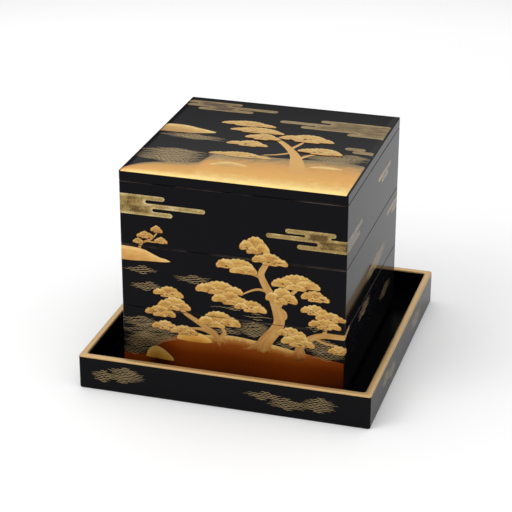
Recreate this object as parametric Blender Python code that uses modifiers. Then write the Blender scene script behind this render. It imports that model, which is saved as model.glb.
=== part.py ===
"""A three-tier lacquered food box on its flat stand, in metres, with +Z up.

The stand is a shallow square tray. Three open square tiers stack inside it, each
dropping a foot into the mouth of the tier below, and the lid drops a tongue into the
mouth of the top tier. Nothing is fastened: every piece lifts off the one below.
The origin is the middle of the stand's underside.

Each piece starts as a cube. Its top and its underside are inset and pushed up or down,
which makes the hollows, the feet and the lid's crown, and then its edges are rounded.
"""

import math

import bmesh
import bpy

# Driving dimensions of the tiers
BOX_WIDTH = 0.195
TIER_WALL = 0.006
TIER_HEIGHT = 0.0567
FLOOR_RISE = 0.0022
FOOT_HEIGHT = 0.0052
TIER_NAMES = ("bottom_tier", "middle_tier", "top_tier")

# Driving dimensions of the lid
LID_SIDE = 0.0084
LID_PANEL = 0.005
CROWN_WIDTH = 0.006
CROWN_RISE = 0.0011
CROWN_STEPS = 5
TONGUE_DEPTH = 0.004
TONGUE_WIDTH = 0.005

# Driving dimensions of the stand
STAND_MARGIN = 0.024
STAND_WALL = 0.006
STAND_HEIGHT = 0.031
STAND_FLOOR = 0.0065

# How the pieces meet: play at the sides, and the gap under a piece that rests
MOUTH_CLEARANCE = 0.0006
REST_GAP = 0.0003

# Rounding of corners, inner floors and edges
BOX_CORNER_RADIUS = 0.0015
MOUTH_CORNER_RADIUS = 0.004
RECESS_CORNER_RADIUS = 0.002
TIER_FLOOR_FILLET = 0.0025
STAND_CORNER_RADIUS = 0.002
WELL_CORNER_RADIUS = 0.0025
WELL_FLOOR_FILLET = 0.0015
STAND_BASE_ROUND = 0.0014
EDGE_ROUND = 0.0005
RIM_ROUND = 0.0015
CORNER_SEGMENTS = 6
EDGE_SEGMENTS = 3
SHARP_ANGLE = math.radians(50)

# Finishes, as (red, green, blue, alpha)
LACQUER = {
    "lid": (0.020, 0.019, 0.023, 1.0),
    "top_tier": (0.011, 0.010, 0.012, 1.0),
    "middle_tier": (0.011, 0.010, 0.012, 1.0),
    "bottom_tier": (0.024, 0.008, 0.004, 1.0),
    "stand_tray": (0.010, 0.010, 0.012, 1.0),
}
LACQUER_ROUGHNESS = 0.08
GOLD = (0.72, 0.47, 0.19, 1.0)
GOLD_ROUGHNESS = 0.32

# Sizes that follow from the ones above
MOUTH_WIDTH = BOX_WIDTH - 2 * TIER_WALL
FOOT_INSET = TIER_WALL + MOUTH_CLEARANCE
FOOT_WIDTH = BOX_WIDTH - 2 * FOOT_INSET
FOOT_CORNER_RADIUS = MOUTH_CORNER_RADIUS - MOUTH_CLEARANCE
RECESS_WIDTH = FOOT_WIDTH - 2 * TONGUE_WIDTH
WELL_WIDTH = BOX_WIDTH + 2 * STAND_MARGIN
STAND_WIDTH = WELL_WIDTH + 2 * STAND_WALL
FIRST_SEAM = STAND_FLOOR + REST_GAP + FOOT_HEIGHT
TIER_PITCH = TIER_HEIGHT + REST_GAP

# Two lengths closer than this are one
SAME = 1e-6


def clear_scene():
    """Removes every object that the file opened with."""
    for obj in list(bpy.data.objects):
        bpy.data.objects.remove(obj)


def finish(name, colour, roughness, metallic=0.0):
    """A lacquer or gold finish as one Principled BSDF."""
    material = bpy.data.materials.new(name)
    material.use_nodes = True
    shader = material.node_tree.nodes["Principled BSDF"]
    shader.inputs["Base Color"].default_value = colour
    shader.inputs["Roughness"].default_value = roughness
    shader.inputs["Metallic"].default_value = metallic
    return material


def square_block(width, height):
    """A square block on z = 0 about the Z axis, with its top and its underside."""
    mesh = bmesh.new()
    bmesh.ops.create_cube(mesh, size=1.0)
    bmesh.ops.scale(mesh, vec=(width, width, height), verts=mesh.verts)
    bmesh.ops.translate(mesh, vec=(0.0, 0.0, height / 2), verts=mesh.verts)
    top = max(mesh.faces, key=height_of)
    underside = min(mesh.faces, key=height_of)
    return mesh, top, underside


def height_of(face):
    """How high the middle of a face lies."""
    return face.calc_center_median().z


def inset(mesh, face, width, rise=0.0):
    """Insets a level face by a width all round and lifts the inner face by a rise."""
    bmesh.ops.inset_region(mesh, faces=[face], thickness=width, use_even_offset=True)
    bmesh.ops.translate(mesh, vec=(0.0, 0.0, rise), verts=face.verts)


def push(mesh, face, height):
    """Extrudes a level face straight up or down to a height, and returns it."""
    pushed = bmesh.ops.extrude_discrete_faces(mesh, faces=[face])["faces"][0]
    shift = height - height_of(pushed)
    bmesh.ops.translate(mesh, vec=(0.0, 0.0, shift), verts=pushed.verts)
    return pushed


def raise_crown(mesh, face):
    """Lifts a top face in insets along an arc, steep at the rim and flat inside."""
    for step in range(CROWN_STEPS):
        outer, inner = (1 - (step + end) / CROWN_STEPS for end in (0, 1))
        inset(mesh, face, CROWN_WIDTH / CROWN_STEPS, CROWN_RISE * (outer**2 - inner**2))


def is_upright(edge, width):
    """Whether an edge is an upright corner of a square of that width."""
    at_corner = all(abs(abs(c) - width / 2) < SAME for v in edge.verts for c in v.co.xy)
    run = (edge.verts[0].co.xy - edge.verts[1].co.xy).length
    return at_corner and run < SAME


def is_outline(edge, height):
    """Whether an edge bounds a level face at that height."""
    level = [abs(face.normal.z) > 0.99 for face in edge.link_faces]
    at_height = all(abs(vertex.co.z - height) < SAME for vertex in edge.verts)
    return at_height and any(level) and not all(level)


def round_edges(mesh, edges, radius):
    """Rounds edges to arcs of one radius."""
    bmesh.ops.bevel(
        mesh,
        geom=edges,
        offset=radius,
        segments=CORNER_SEGMENTS,
        profile=0.5,
        affect="EDGES",
    )
    mesh.normal_update()


def round_corners(mesh, width, radius):
    """Rounds the four upright corners of the square of that width."""
    round_edges(mesh, [e for e in mesh.edges if is_upright(e, width)], radius)


def round_outline(mesh, height, radius):
    """Rounds the outline of the level face at that height."""
    mesh.normal_update()
    round_edges(mesh, [e for e in mesh.edges if is_outline(e, height)], radius)


def tier_mesh():
    """One open tier: walls round a floor, with a smaller foot below."""
    mesh, top, underside = square_block(BOX_WIDTH, TIER_HEIGHT)
    inset(mesh, top, TIER_WALL)
    push(mesh, top, FLOOR_RISE)
    inset(mesh, underside, FOOT_INSET)
    push(mesh, underside, -FOOT_HEIGHT)
    round_corners(mesh, BOX_WIDTH, BOX_CORNER_RADIUS)
    round_corners(mesh, MOUTH_WIDTH, MOUTH_CORNER_RADIUS)
    round_corners(mesh, FOOT_WIDTH, FOOT_CORNER_RADIUS)
    round_outline(mesh, FLOOR_RISE, TIER_FLOOR_FILLET)
    return mesh


def lid_mesh():
    """The lid: a crowned panel with a tongue ring round its hollow underside."""
    mesh, top, underside = square_block(BOX_WIDTH, LID_SIDE)
    raise_crown(mesh, top)
    inset(mesh, underside, FOOT_INSET)
    tongue = push(mesh, underside, -TONGUE_DEPTH)
    inset(mesh, tongue, TONGUE_WIDTH)
    push(mesh, tongue, LID_SIDE + CROWN_RISE - LID_PANEL)
    round_corners(mesh, BOX_WIDTH, BOX_CORNER_RADIUS)
    round_corners(mesh, FOOT_WIDTH, FOOT_CORNER_RADIUS)
    round_corners(mesh, RECESS_WIDTH, RECESS_CORNER_RADIUS)
    return mesh


def stand_mesh():
    """The flat stand: a shallow tray with a rounded base."""
    mesh, top, _ = square_block(STAND_WIDTH, STAND_HEIGHT)
    inset(mesh, top, STAND_WALL)
    push(mesh, top, STAND_FLOOR)
    round_corners(mesh, STAND_WIDTH, STAND_CORNER_RADIUS)
    round_corners(mesh, WELL_WIDTH, WELL_CORNER_RADIUS)
    round_outline(mesh, STAND_FLOOR, WELL_FLOOR_FILLET)
    round_outline(mesh, 0.0, STAND_BASE_ROUND)
    return mesh


def add_piece(collection, name, mesh, height, edge_round):
    """Places a mesh at its height as a named piece with soft edges and its lacquer."""
    data = bpy.data.meshes.new(name)
    mesh.to_mesh(data)
    mesh.free()
    data.shade_smooth()
    data.set_sharp_from_angle(angle=SHARP_ANGLE)
    data.materials.append(finish(name + "_lacquer", LACQUER[name], LACQUER_ROUGHNESS))
    piece = bpy.data.objects.new(name, data)
    piece.location.z = height
    collection.objects.link(piece)
    soften(piece, edge_round)
    return piece


def soften(piece, width):
    """Rounds every edge that is still sharp."""
    modifier = piece.modifiers.new("soft_edges", "BEVEL")
    modifier.width = width
    modifier.segments = EDGE_SEGMENTS
    modifier.limit_method = "ANGLE"
    modifier.angle_limit = SHARP_ANGLE


def gild_rim(stand):
    """Gives the level faces at the stand's top a gold finish."""
    stand.data.materials.append(finish("rim_gold", GOLD, GOLD_ROUGHNESS, metallic=1.0))
    for polygon in stand.data.polygons:
        if abs(polygon.center.z - STAND_HEIGHT) < SAME:
            polygon.material_index = 1


def build_box():
    """Builds the stand, the tiers from the bottom up, and the lid."""
    clear_scene()
    collection = bpy.data.collections.new("tiered_food_box")
    bpy.context.scene.collection.children.link(collection)
    stand = add_piece(collection, "stand_tray", stand_mesh(), 0.0, RIM_ROUND)
    gild_rim(stand)
    seam = FIRST_SEAM
    for name in TIER_NAMES:
        add_piece(collection, name, tier_mesh(), seam, EDGE_ROUND)
        seam += TIER_PITCH
    add_piece(collection, "lid", lid_mesh(), seam, EDGE_ROUND)


build_box()
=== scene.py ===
"""A three-tier lacquered food box on its flat stand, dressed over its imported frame.

Smooth lacquer shells stand for the frame's solids. The gold picture lies on them as thin
slabs, each worked out flat on a canvas and then laid on the sides or on the lid. Lengths
are metres, +Z is up, and the front of the box faces -Y.
"""

import math

import bmesh
import bpy
import numpy as np
from bpy.props import FloatProperty, FloatVectorProperty, PointerProperty
from bpy.types import Operator, Panel, PropertyGroup
from mathutils import Matrix, Vector


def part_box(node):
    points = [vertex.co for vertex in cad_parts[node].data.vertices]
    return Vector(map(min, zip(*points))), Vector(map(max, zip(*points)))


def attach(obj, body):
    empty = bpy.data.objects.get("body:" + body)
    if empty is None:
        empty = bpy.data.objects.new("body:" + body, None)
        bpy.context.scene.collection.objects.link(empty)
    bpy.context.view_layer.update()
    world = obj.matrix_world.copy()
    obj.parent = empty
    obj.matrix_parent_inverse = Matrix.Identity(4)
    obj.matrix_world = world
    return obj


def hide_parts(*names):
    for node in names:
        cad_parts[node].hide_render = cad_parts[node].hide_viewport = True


bl_info = {
    "name": "Tiered food box",
    "version": (1, 0, 0),
    "blender": (4, 5, 0),
    "location": "3D View > Sidebar > Food Box",
    "description": "Shells, gold picture and studio of a three-tier lacquered food box",
    "category": "Add Mesh",
}

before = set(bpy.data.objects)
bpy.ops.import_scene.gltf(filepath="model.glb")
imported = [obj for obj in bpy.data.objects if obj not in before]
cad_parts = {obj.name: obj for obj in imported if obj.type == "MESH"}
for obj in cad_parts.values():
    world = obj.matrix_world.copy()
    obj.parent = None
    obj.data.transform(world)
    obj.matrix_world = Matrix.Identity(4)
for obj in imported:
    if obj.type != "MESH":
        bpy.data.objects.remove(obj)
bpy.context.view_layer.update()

TIERS = ("bottom_tier", "middle_tier", "top_tier")
MM = 0.001


def mm(*rows):
    """Rows of millimetres as an array in metres."""
    return np.array(rows, float) * MM


def paint(red, green, blue):
    """A colour given from 0 to 255 as a screen shows it, as the linear colour of a shader."""
    shown = np.array((red, green, blue)) / 255
    linear = np.where(shown <= 0.04045, shown / 12.92, ((shown + 0.055) / 1.055) ** 2.4)
    return tuple(float(value) for value in linear)


def node_width(node):
    """The width of a frame node along X."""
    low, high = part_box(node)
    return float(high.x - low.x)


def length(name, default, description):
    """A length as an add-on property."""
    return FloatProperty(name=name, description=description, default=default, unit="LENGTH")


def ratio(name, default, description):
    """A plain number as an add-on property."""
    return FloatProperty(name=name, description=description, default=default)


def colour(name, default, description):
    """A colour as an add-on property."""
    return FloatVectorProperty(
        name=name, description=description, default=default, subtype="COLOR", min=0.0, max=1.0
    )


def spot(name, default, description):
    """A place as an add-on property."""
    return FloatVectorProperty(
        name=name, description=description, default=default, subtype="XYZ", unit="LENGTH"
    )


class BoxForm(PropertyGroup):
    """Sizes of the tiers and the lid."""

    width: length("Box width", node_width("lid"), "Across the outside of a tier")
    wall: length("Wall", 0.006, "Thickness of a tier's wall")
    floor_rise: length("Floor rise", 0.0022, "Top of a tier's floor above its lower edge")
    foot: length("Foot", 0.0052, "How far a tier's foot reaches into the tier below")
    play: length("Play", 0.0006, "Gap beside a foot or a tongue")
    corner: length("Corner radius", 0.0015, "Rounding of the upright outer corners")
    mouth_corner: length("Mouth radius", 0.004, "Rounding of the upright inner corners")
    fillet: length("Floor fillet", 0.0025, "Rounding between a tier's wall and its floor")
    edge: length("Edge round", 0.0005, "Rounding of the level edges")
    crown_width: length("Crown width", 0.006, "How far the lid's crown reaches inwards")
    crown_rise: length("Crown rise", 0.0011, "How high the lid's crown rises")
    tongue: length("Tongue", 0.004, "How far the lid's tongue reaches down")
    tongue_width: length("Tongue width", 0.005, "Thickness of the lid's tongue ring")
    panel: length("Panel", 0.005, "Thickness of the lid's panel")


class StandForm(PropertyGroup):
    """Sizes of the stand."""

    width: length("Stand width", node_width("stand_tray"), "Across the outside of the stand")
    wall: length("Wall", 0.006, "Thickness of the stand's wall")
    floor: length("Floor", 0.0065, "Height of the stand's floor")
    corner: length("Corner radius", 0.002, "Rounding of the upright outer corners")
    well_corner: length("Well radius", 0.0025, "Rounding of the upright inner corners")
    fillet: length("Floor fillet", 0.0015, "Rounding between the wall and the floor")
    base: length("Base round", 0.0014, "Rounding of the lowest edge")
    rim: length("Rim round", 0.0015, "Rounding of the rim's two edges")
    leaf: length("Rim gold", 0.00005, "Thickness of the gold on the rim")


class Finishes(PropertyGroup):
    """Colours and gloss of the lacquer and the rim."""

    black: colour("Black lacquer", paint(18, 17, 20), "Lacquer of the tiers and the lid")
    stand: colour("Stand lacquer", paint(19, 19, 21), "Lacquer of the stand's outside")
    # The inside lacquer is the stand's black made darker and duller, as painted shade in its well
    inside: colour("Inside lacquer", paint(5, 4, 4), "Lacquer of the stand's inside")
    # Paler lacquer on the roundings: partly rubbed thin, partly painted highlight along the seams
    worn_and_highlit: colour("Worn edge", paint(84, 72, 66), "Lacquer where the edges have rubbed thin")
    rim: colour("Rim gold", paint(214, 176, 120), "Gold on the stand's rim")
    gloss: ratio("Lacquer roughness", 0.06, "Roughness of the lacquer")
    well_shade_gloss: ratio("Inside roughness", 0.3, "Roughness of the lacquer inside the stand")
    refraction: ratio("Box refraction", 1.123, "Refractive index of the box's lacquer")
    stand_refraction: ratio("Stand refraction", 1.11, "The same on the stand's outside")
    well_shade_refraction: ratio("Inside refraction", 1.05, "The same inside the stand")


class Studio(PropertyGroup):
    """Camera, light and floor."""

    camera: spot("Camera", (0.3873, -1.3375, 0.7107), "Where the camera stands")
    target: spot("Target", (-0.0261, 0.0621, 0.0548), "The point the camera looks at")
    roll: FloatProperty(
        name="Roll", description="Turn of the camera about its view", subtype="ANGLE",
        default=math.radians(0.14),
    )
    lens: ratio("Lens", 121.5, "Focal length in millimetres")
    lamp: spot("Lamp", (-1.1, -1.3, 1.5), "Where the soft light hangs")
    lamp_size: length("Lamp size", 1.2, "Width of the soft light")
    lamp_power: ratio("Lamp power", 13.0, "Power of the soft light in watts")
    floor_radius: length("Floor radius", 1.3, "Where the floor has faded into the backdrop")


class FoodBoxSettings(PropertyGroup):
    """All settings of the food box."""

    box: PointerProperty(type=BoxForm)
    stand: PointerProperty(type=StandForm)
    finishes: PointerProperty(type=Finishes)
    studio: PointerProperty(type=Studio)


# Meshes from arrays

def quads(index):
    """Four-cornered faces over a grid of point numbers."""
    corners = (index[:-1, :-1], index[1:, :-1], index[1:, 1:], index[:-1, 1:])
    return np.stack(corners, axis=-1).reshape(-1, 4)


def numbered(grid):
    """The numbers of the points of a grid, in rows and columns."""
    return np.arange(grid.shape[0] * grid.shape[1]).reshape(grid.shape[:2])


def closed(index):
    """A grid of point numbers with its first column repeated at the end."""
    return np.concatenate([index, index[:, :1]], axis=1)


def fill_mesh(name, points, polygons):
    """A mesh of points and of arrays of polygons, one array for each number of corners."""
    loops = np.concatenate([faces.ravel() for faces in polygons])
    sizes = np.concatenate([np.full(len(faces), faces.shape[1]) for faces in polygons])
    mesh = bpy.data.meshes.new(name)
    mesh.vertices.add(len(points))
    mesh.vertices.foreach_set("co", points.astype(np.float32).ravel())
    mesh.loops.add(len(loops))
    mesh.loops.foreach_set("vertex_index", loops.astype(np.int32))
    mesh.polygons.add(len(sizes))
    starts = np.concatenate([[0], np.cumsum(sizes)[:-1]])
    mesh.polygons.foreach_set("loop_start", starts.astype(np.int32))
    mesh.update(calc_edges=True)
    return mesh, loops


def add_value(mesh, name, values):
    """Gives a mesh one number for each point, for its material to read."""
    attribute = mesh.attributes.new(name, "FLOAT", "POINT")
    attribute.data.foreach_set("value", values.astype(np.float32))


def new_object(name, data):
    """Puts a mesh, a camera or a light into the scene."""
    item = bpy.data.objects.new(name, data)
    bpy.context.scene.collection.objects.link(item)
    return item


def add_object(mesh, material):
    """Puts a finished mesh into the scene as a piece of the object."""
    mesh.materials.append(material)
    piece = new_object(mesh.name, mesh)
    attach(piece, "root")
    return piece


# Lacquer shells

# Steps of an upright corner, of a level rounding and of the lid's crown
CORNER_STEPS = 6
BEND_STEPS = 5
CROWN_STEPS = 13

# How far from a bend the rings lie that keep the flat beside it flat
SUPPORT = 0.3 * MM

# The least turn of a profile that is a paler edge, partly rubbed thin and partly painted
# highlight, and the angles from which edges are sharp
WEAR_AND_HIGHLIGHT_TURN = math.radians(8)
SHELL_ANGLE = math.radians(50)
RIM_ANGLE = math.radians(60)
FILM_ANGLE = math.radians(40)

# How far off the stand's well a face may lie and still count as part of it
WELL_PLAY = 0.01 * MM


def square_rings(rings):
    """Points of rounded squares, each row of rings being (half width, corner radius, height).

    A corner is a quarter circle of that radius about the point that far inside both sides,
    between two more points a little way along the straight sides. A quarter turn about the
    upright axis gives the next corner.
    """
    half, radius, height = np.array(rings, float).T[:, :, None]
    angle = np.linspace(0, math.pi / 2, CORNER_STEPS + 1)
    centre = half - radius
    across = centre + radius * np.cos(angle)
    along = centre + radius * np.sin(angle)
    x = np.concatenate([half, across, centre - SUPPORT], axis=1)
    y = np.concatenate([centre - SUPPORT, along, half], axis=1)
    ring_x = np.concatenate([x, -y, -x, y], axis=1)
    ring_y = np.concatenate([y, x, -y, -x], axis=1)
    ring_z = np.broadcast_to(height, ring_x.shape)
    return np.stack([ring_x, ring_y, ring_z], axis=-1)


def bend(half, corner, height, size, start, stop):
    """Rings of a rounding: an arc of a size about a point of the profile, in degrees."""
    angle = np.radians(np.linspace(start, stop, BEND_STEPS + 1))
    out, up = size * np.cos(angle), size * np.sin(angle)
    return list(zip(half + out, corner + out, height + up))


def supported(rings):
    """The rings with two more near the ends of each long stretch, which keep it flat."""
    result = [rings[0]]
    for before, after in zip(rings, rings[1:]):
        before, after = np.array(before), np.array(after)
        reach = math.hypot(after[0] - before[0], after[2] - before[2])
        if reach > 4 * SUPPORT:
            share = SUPPORT / reach
            result += [before + (after - before) * share, after + (before - after) * share]
        result.append(after)
    return result


def shell(name, rings, wear_and_highlight):
    """A closed shell: a profile of rings carried round a rounded square, and two flat caps.

    The value "edge" is the paler mark on the roundings, partly rubbed lacquer and partly
    painted highlight, and 0 on the flats.
    """
    rings = supported(rings)
    points = square_rings(rings)
    index = numbered(points)
    mesh, _ = fill_mesh(
        name, points.reshape(-1, 3), [quads(closed(index)), index[:1], index[-1:, ::-1]]
    )
    steps = np.diff(np.array(rings)[:, [0, 2]], axis=0)
    heading = np.unwrap(np.arctan2(steps[:, 1], steps[:, 0]))
    turn = np.zeros(len(rings))
    turn[1:-1] = wear_and_highlight * (np.abs(np.diff(heading)) > WEAR_AND_HIGHLIGHT_TURN)
    add_value(mesh, "edge", np.repeat(turn, points.shape[1]))
    mesh.shade_smooth()
    mesh.set_sharp_from_angle(angle=SHELL_ANGLE)
    return mesh


def tier_rings(box, seam, top):
    """The profile of a tier: its floor, inner wall, rim, outer wall, underside and foot."""
    half, edge = box.width / 2, box.edge
    mouth = half - box.wall
    foot = mouth - box.play
    floor = seam + box.floor_rise
    foot_corner = box.mouth_corner - box.play
    low = seam - box.foot
    inside = box.mouth_corner - box.fillet
    return [
        (mouth / 2, inside, floor),
        *bend(mouth - box.fillet, inside, floor + box.fillet, box.fillet, -90, 0),
        *bend(mouth + edge, box.mouth_corner + edge, top - edge, edge, 180, 90),
        *bend(half - edge, box.corner - edge, top - edge, edge, 90, 0),
        *bend(half - edge, box.corner - edge, seam + edge, edge, 0, -90),
        (foot + edge, foot_corner + edge, seam),
        (foot, foot_corner, seam - edge),
        *bend(foot - edge, foot_corner - edge, low + edge, edge, 0, -90),
        (foot / 2, foot_corner, low),
    ]


def crown_height(box, inset):
    """Height of the lid's top above its lowest edge, at a way in from its outline.

    Over the crown's width it rises as 1 - (1 - share)^2, steep first and level at the end.
    """
    share = np.clip(inset / box.crown_width, 0, 1)
    return box.crown_rise * (1 - (1 - share) ** 2)


def crown_edge(box):
    """The rounding between the lid's side and its crown: the angle where the crown starts,
    how far in that is, and how far the rounding's centre lies below the crown's own edge."""
    slope = math.atan(2 * box.crown_rise / box.crown_width)
    start = box.edge * (1 - math.sin(slope))
    drop = box.edge * math.cos(slope) - float(crown_height(box, start))
    return slope, start, drop


def lid_rings(box, seam, top):
    """The profile of the lid: its crowned top, side, underside, tongue and hollow."""
    half, edge = box.width / 2, box.edge
    brim = top - box.crown_rise
    slope, start, drop = crown_edge(box)
    tongue = half - box.wall - box.play
    corner = box.mouth_corner - box.play
    hollow = tongue - box.tongue_width
    insets = np.linspace(box.crown_width, start, CROWN_STEPS + 1)[:-1]
    low = seam - box.tongue
    ceiling = top - box.panel
    return [
        (half / 2, box.corner, top),
        *[(half - d, box.corner, brim + float(crown_height(box, d))) for d in insets],
        *bend(half - edge, box.corner - edge, brim - drop, edge, 90 - math.degrees(slope), 0),
        *bend(half - edge, box.corner - edge, seam + edge, edge, 0, -90),
        (tongue + edge, corner + edge, seam),
        *bend(tongue - edge, corner - edge, low + edge, edge, 0, -90),
        *bend(hollow + edge, corner / 2 + edge, low + edge, edge, -90, -180),
        (hollow, corner / 2, ceiling),
        (hollow / 2, corner / 2, ceiling),
    ]


def stand_rings(stand, top):
    """The profile of the stand: its floor, inner wall, rim, outer wall and underside."""
    half, rim, base = stand.width / 2, stand.rim, stand.base
    well = half - stand.wall
    inside = stand.well_corner - stand.fillet
    return [
        (well / 2, inside, stand.floor),
        *bend(well - stand.fillet, inside, stand.floor + stand.fillet, stand.fillet, -90, 0),
        *bend(well + rim, stand.well_corner + rim, top - rim, rim, 180, 90),
        *bend(half - rim, stand.corner - rim, top - rim, rim, 90, 0),
        *bend(half - base, stand.corner - base, base, base, 0, -90),
        (half / 2, stand.corner, 0.0),
    ]


def rim_rings(stand, top):
    """The profile of the rim's gold: over both roundings, and back just under the lacquer."""
    half, rim, leaf = stand.width / 2, stand.rim, stand.leaf
    well = half - stand.wall

    def stretch(size):
        inner = bend(well + rim, stand.well_corner + rim, top - rim, size, 180, 90)
        return inner + bend(half - rim, stand.corner - rim, top - rim, size, 90, 0)

    return stretch(rim + leaf) + stretch(rim - leaf)[::-1]


def rim_mesh(name, stand, top):
    """The rim's gold, closed round its profile and round the stand."""
    points = square_rings(rim_rings(stand, top))
    index = numbered(points)
    loop = np.concatenate([index, index[:1]])
    mesh, _ = fill_mesh(name, points.reshape(-1, 3), [quads(closed(loop))])
    mesh.shade_smooth()
    mesh.set_sharp_from_angle(angle=RIM_ANGLE)
    add_value(mesh, "tone", np.full(len(mesh.vertices), 0.5))
    return mesh


# Flat slabs of the picture

# How deep a slab is sunk into the lacquer, and how high each finish lies over it
SUNK = 0.02 * MM
SHORE_LEVEL = 0.02 * MM
WAVE_LEVEL = 0.03 * MM
MIST_LEVEL = 0.04 * MM
HILL_LEVEL = 0.05 * MM
LIMB_LEVEL = 0.05 * MM
PAD_LEVEL = 0.08 * MM
GRASS_LEVEL = SHORE_LEVEL + 0.02 * MM

# How far a slab swells in its middle, and how much lower the lesser slabs lie
HILL_RISE = 0.03 * MM
LIMB_RISE = 0.06 * MM
PAD_RISE = 0.03 * MM
FILL_DROP = 0.01 * MM
BRANCH_DROP = 0.01 * MM
ROOT_DROP = 0.02 * MM

# Mist: the step along it and its points across, the most that depth counts in its tone, and
# how much darker it is round the front's right corner, as painted shade away from the light
MIST_STEP = 1.5 * MM
MIST_ACROSS = 9
MIST_FILL = 2.2
MIST_SIDE_SHADE = 2.0
MIST_SIDE_SHADE_FROM = 97 * MM
MIST_SIDE_SHADE_WIDTH = 2 * MM

# Ripples: the step along a line, the outermost line as a share of the oval, the length of an
# arc and the range of its heights in millimetres, and the longer swell under the arcs
WAVE_STEP = 0.5 * MM
WAVE_OUTERMOST = 0.96
WAVE_ARC = 4.2 * MM
WAVE_HEIGHTS = (0.5, 0.8)
SWELL_LENGTH = 9 * MM
SWELL_HEIGHT = 0.3 * MM

# The scallops of a lobe of needles: their width, and their height as a share of it
SCALLOP = 3.0 * MM
SCALLOP_HEIGHT = 0.32

# The power that rounds a lobe's dome, and in shares of the lobe's height its dome, shoulders
# and underside, the underside's waves, how far its ends droop, and where its needles spread from
LOBE_POWER = 0.8
LOBE_DOME = 0.5
LOBE_SHOULDER = 0.16
LOBE_BELLY = 0.26
LOBE_WAVE = 0.08
LOBE_DROOP = 0.1
LOBE_FOOT = 1.6

# A pad's lobes as (place, height, width, thickness) in shares of its own size, the ranges
# that they vary in, and the height from one lobe to the next
PAD_LOBES = (
    (0.02, 0.2, 0.68, 0.6), (-0.27, -0.04, 0.46, 0.54), (0.27, -0.08, 0.48, 0.52),
    (0.0, -0.24, 0.44, 0.34),
)
LOBE_SIZES = (0.9, 1.12)
LOBE_SHIFTS = (-0.04, 0.04)
PAD_STEP = 0.06 * MM

# Ink: the width of an outline, partly drawn line and partly painted shade, where the line
# across a lobe runs and how wide it is
INK_WIDTH = 0.3 * MM
INK_LINE = 0.55
INK_LINE_WIDTH = 0.7 * INK_WIDTH
INK_LINE_SHIFTS = (-0.3, 0.3)

# Spots of painted shadow on a pad: their lowest and highest places in shares of its size,
# how many there are, a spot's route and widths, and the width of pad from which they have
# their full size
SPOT_PLACES = ((-0.3, -0.22), (0.3, 0.02))
SPOTS = 3
SPOT_ROUTE = ((-1.0, 0.0), (0.0, 0.3), (1.0, -0.1))
SPOT_WIDTHS = (0.3, 1.1, 0.5)
SPOT_PAD = 24 * MM

# A limb's steps for each of its rows and its points across, and the tones of a trunk above
# the ground, of a branch and of a root
LIMB_STEPS = 14
LIMB_ACROSS = 7
TRUNK_TONES = (0.65, 0.72, 0.76, 0.8, 0.85, 0.9, 0.95)
BRANCH_TONES = (0.75, 0.92)
ROOT_TONES = (0.66, 0.6, 0.44, 0.12)

# Grass: how many blades a tuft has, the points of one, its range of lengths in millimetres,
# and its width in millimetres and its tone from the top to the tip
BLADES = 54
BLADE_POINTS = 8
BLADE_LENGTHS = (4, 11)
BLADE_WIDTHS = (0.6, 0.1)
BLADE_TONES = (0.46, 0.02)

# The grid of the lid's shore, and the dark margins at the lid's sides
LID_SHORE_COLUMNS = 140
LID_SHORE_LINES = 26
LID_MARGIN = 1.6 * MM

# Where a film ends on a rounded edge, in shares of its radius
LID_TRIM = 0.2
TIER_TRIM = 0.24


class Film:
    """Slabs of one finish, worked out flat as (along, up, out) before they go on a surface.

    A slab is its points, its polygons, and each point's place in the pattern and its tone.
    """

    def __init__(self):
        self.slabs = []

    def sheet(self, top, places, tones):
        """Adds a slab over a grid of top points, closed by the same grid sunk in the lacquer."""
        index = numbered(top)
        under = index + index.size
        bottom = top.copy()
        bottom[..., 2] = -SUNK
        sides = (
            (under[:, 0], index[:, 0]), (index[:, -1], under[:, -1]),
            (index[0], under[0]), (under[-1], index[-1]),
        )
        polygons = [quads(index), quads(under[:, ::-1])]
        polygons += [quads(np.stack(side, axis=1)) for side in sides]
        points = np.concatenate([top.reshape(-1, 3), bottom.reshape(-1, 3)])
        places = np.tile(np.reshape(places, (-1, 2)), (2, 1))
        self.slabs.append((points, polygons, places, np.tile(np.reshape(tones, -1), 2)))


def smooth_path(rows, count):
    """Points on a smooth curve through rows of numbers, such as place and width.

    Each span is the cubic that has, at each of its ends, half the step between the rows
    on either side as its slope.
    """
    rows = np.asarray(rows, float)
    padded = np.vstack([2 * rows[0] - rows[1], rows, 2 * rows[-1] - rows[-2]])
    place = np.linspace(0, len(rows) - 1, count)
    span = np.minimum(place.astype(int), len(rows) - 2)
    share = (place - span)[:, None]
    before, start, end, after = (padded[span + step] for step in range(4))
    slope, bow = end - before, 2 * before - 5 * start + 4 * end - after
    twist = 3 * start - before - 3 * end + after
    return start + 0.5 * share * (slope + share * (bow + share * twist))


def stroke(film, route, width, level, tone, rise=0.0, across=3):
    """Adds a brush stroke: a route, a width at each of its points, and a domed section."""
    heading = np.gradient(route, axis=0)
    heading /= np.linalg.norm(heading, axis=1, keepdims=True)
    left = np.stack([-heading[:, 1], heading[:, 0]], axis=1)
    side = np.linspace(-1, 1, across)
    reach = width[:, None] / 2 * side
    flat = route[:, None] + left[:, None] * reach[..., None]
    out = np.broadcast_to(level + rise * (1 - side**2), reach.shape)
    top = np.concatenate([flat, out[..., None]], axis=-1)
    walked = np.concatenate([[0], np.cumsum(np.linalg.norm(np.diff(route, axis=0), axis=1))])
    places = np.stack(np.broadcast_arrays(walked[:, None], reach), axis=-1)
    tones = np.broadcast_to(np.reshape(tone, (-1, 1)), reach.shape)
    film.sheet(top, places, tones)


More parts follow.
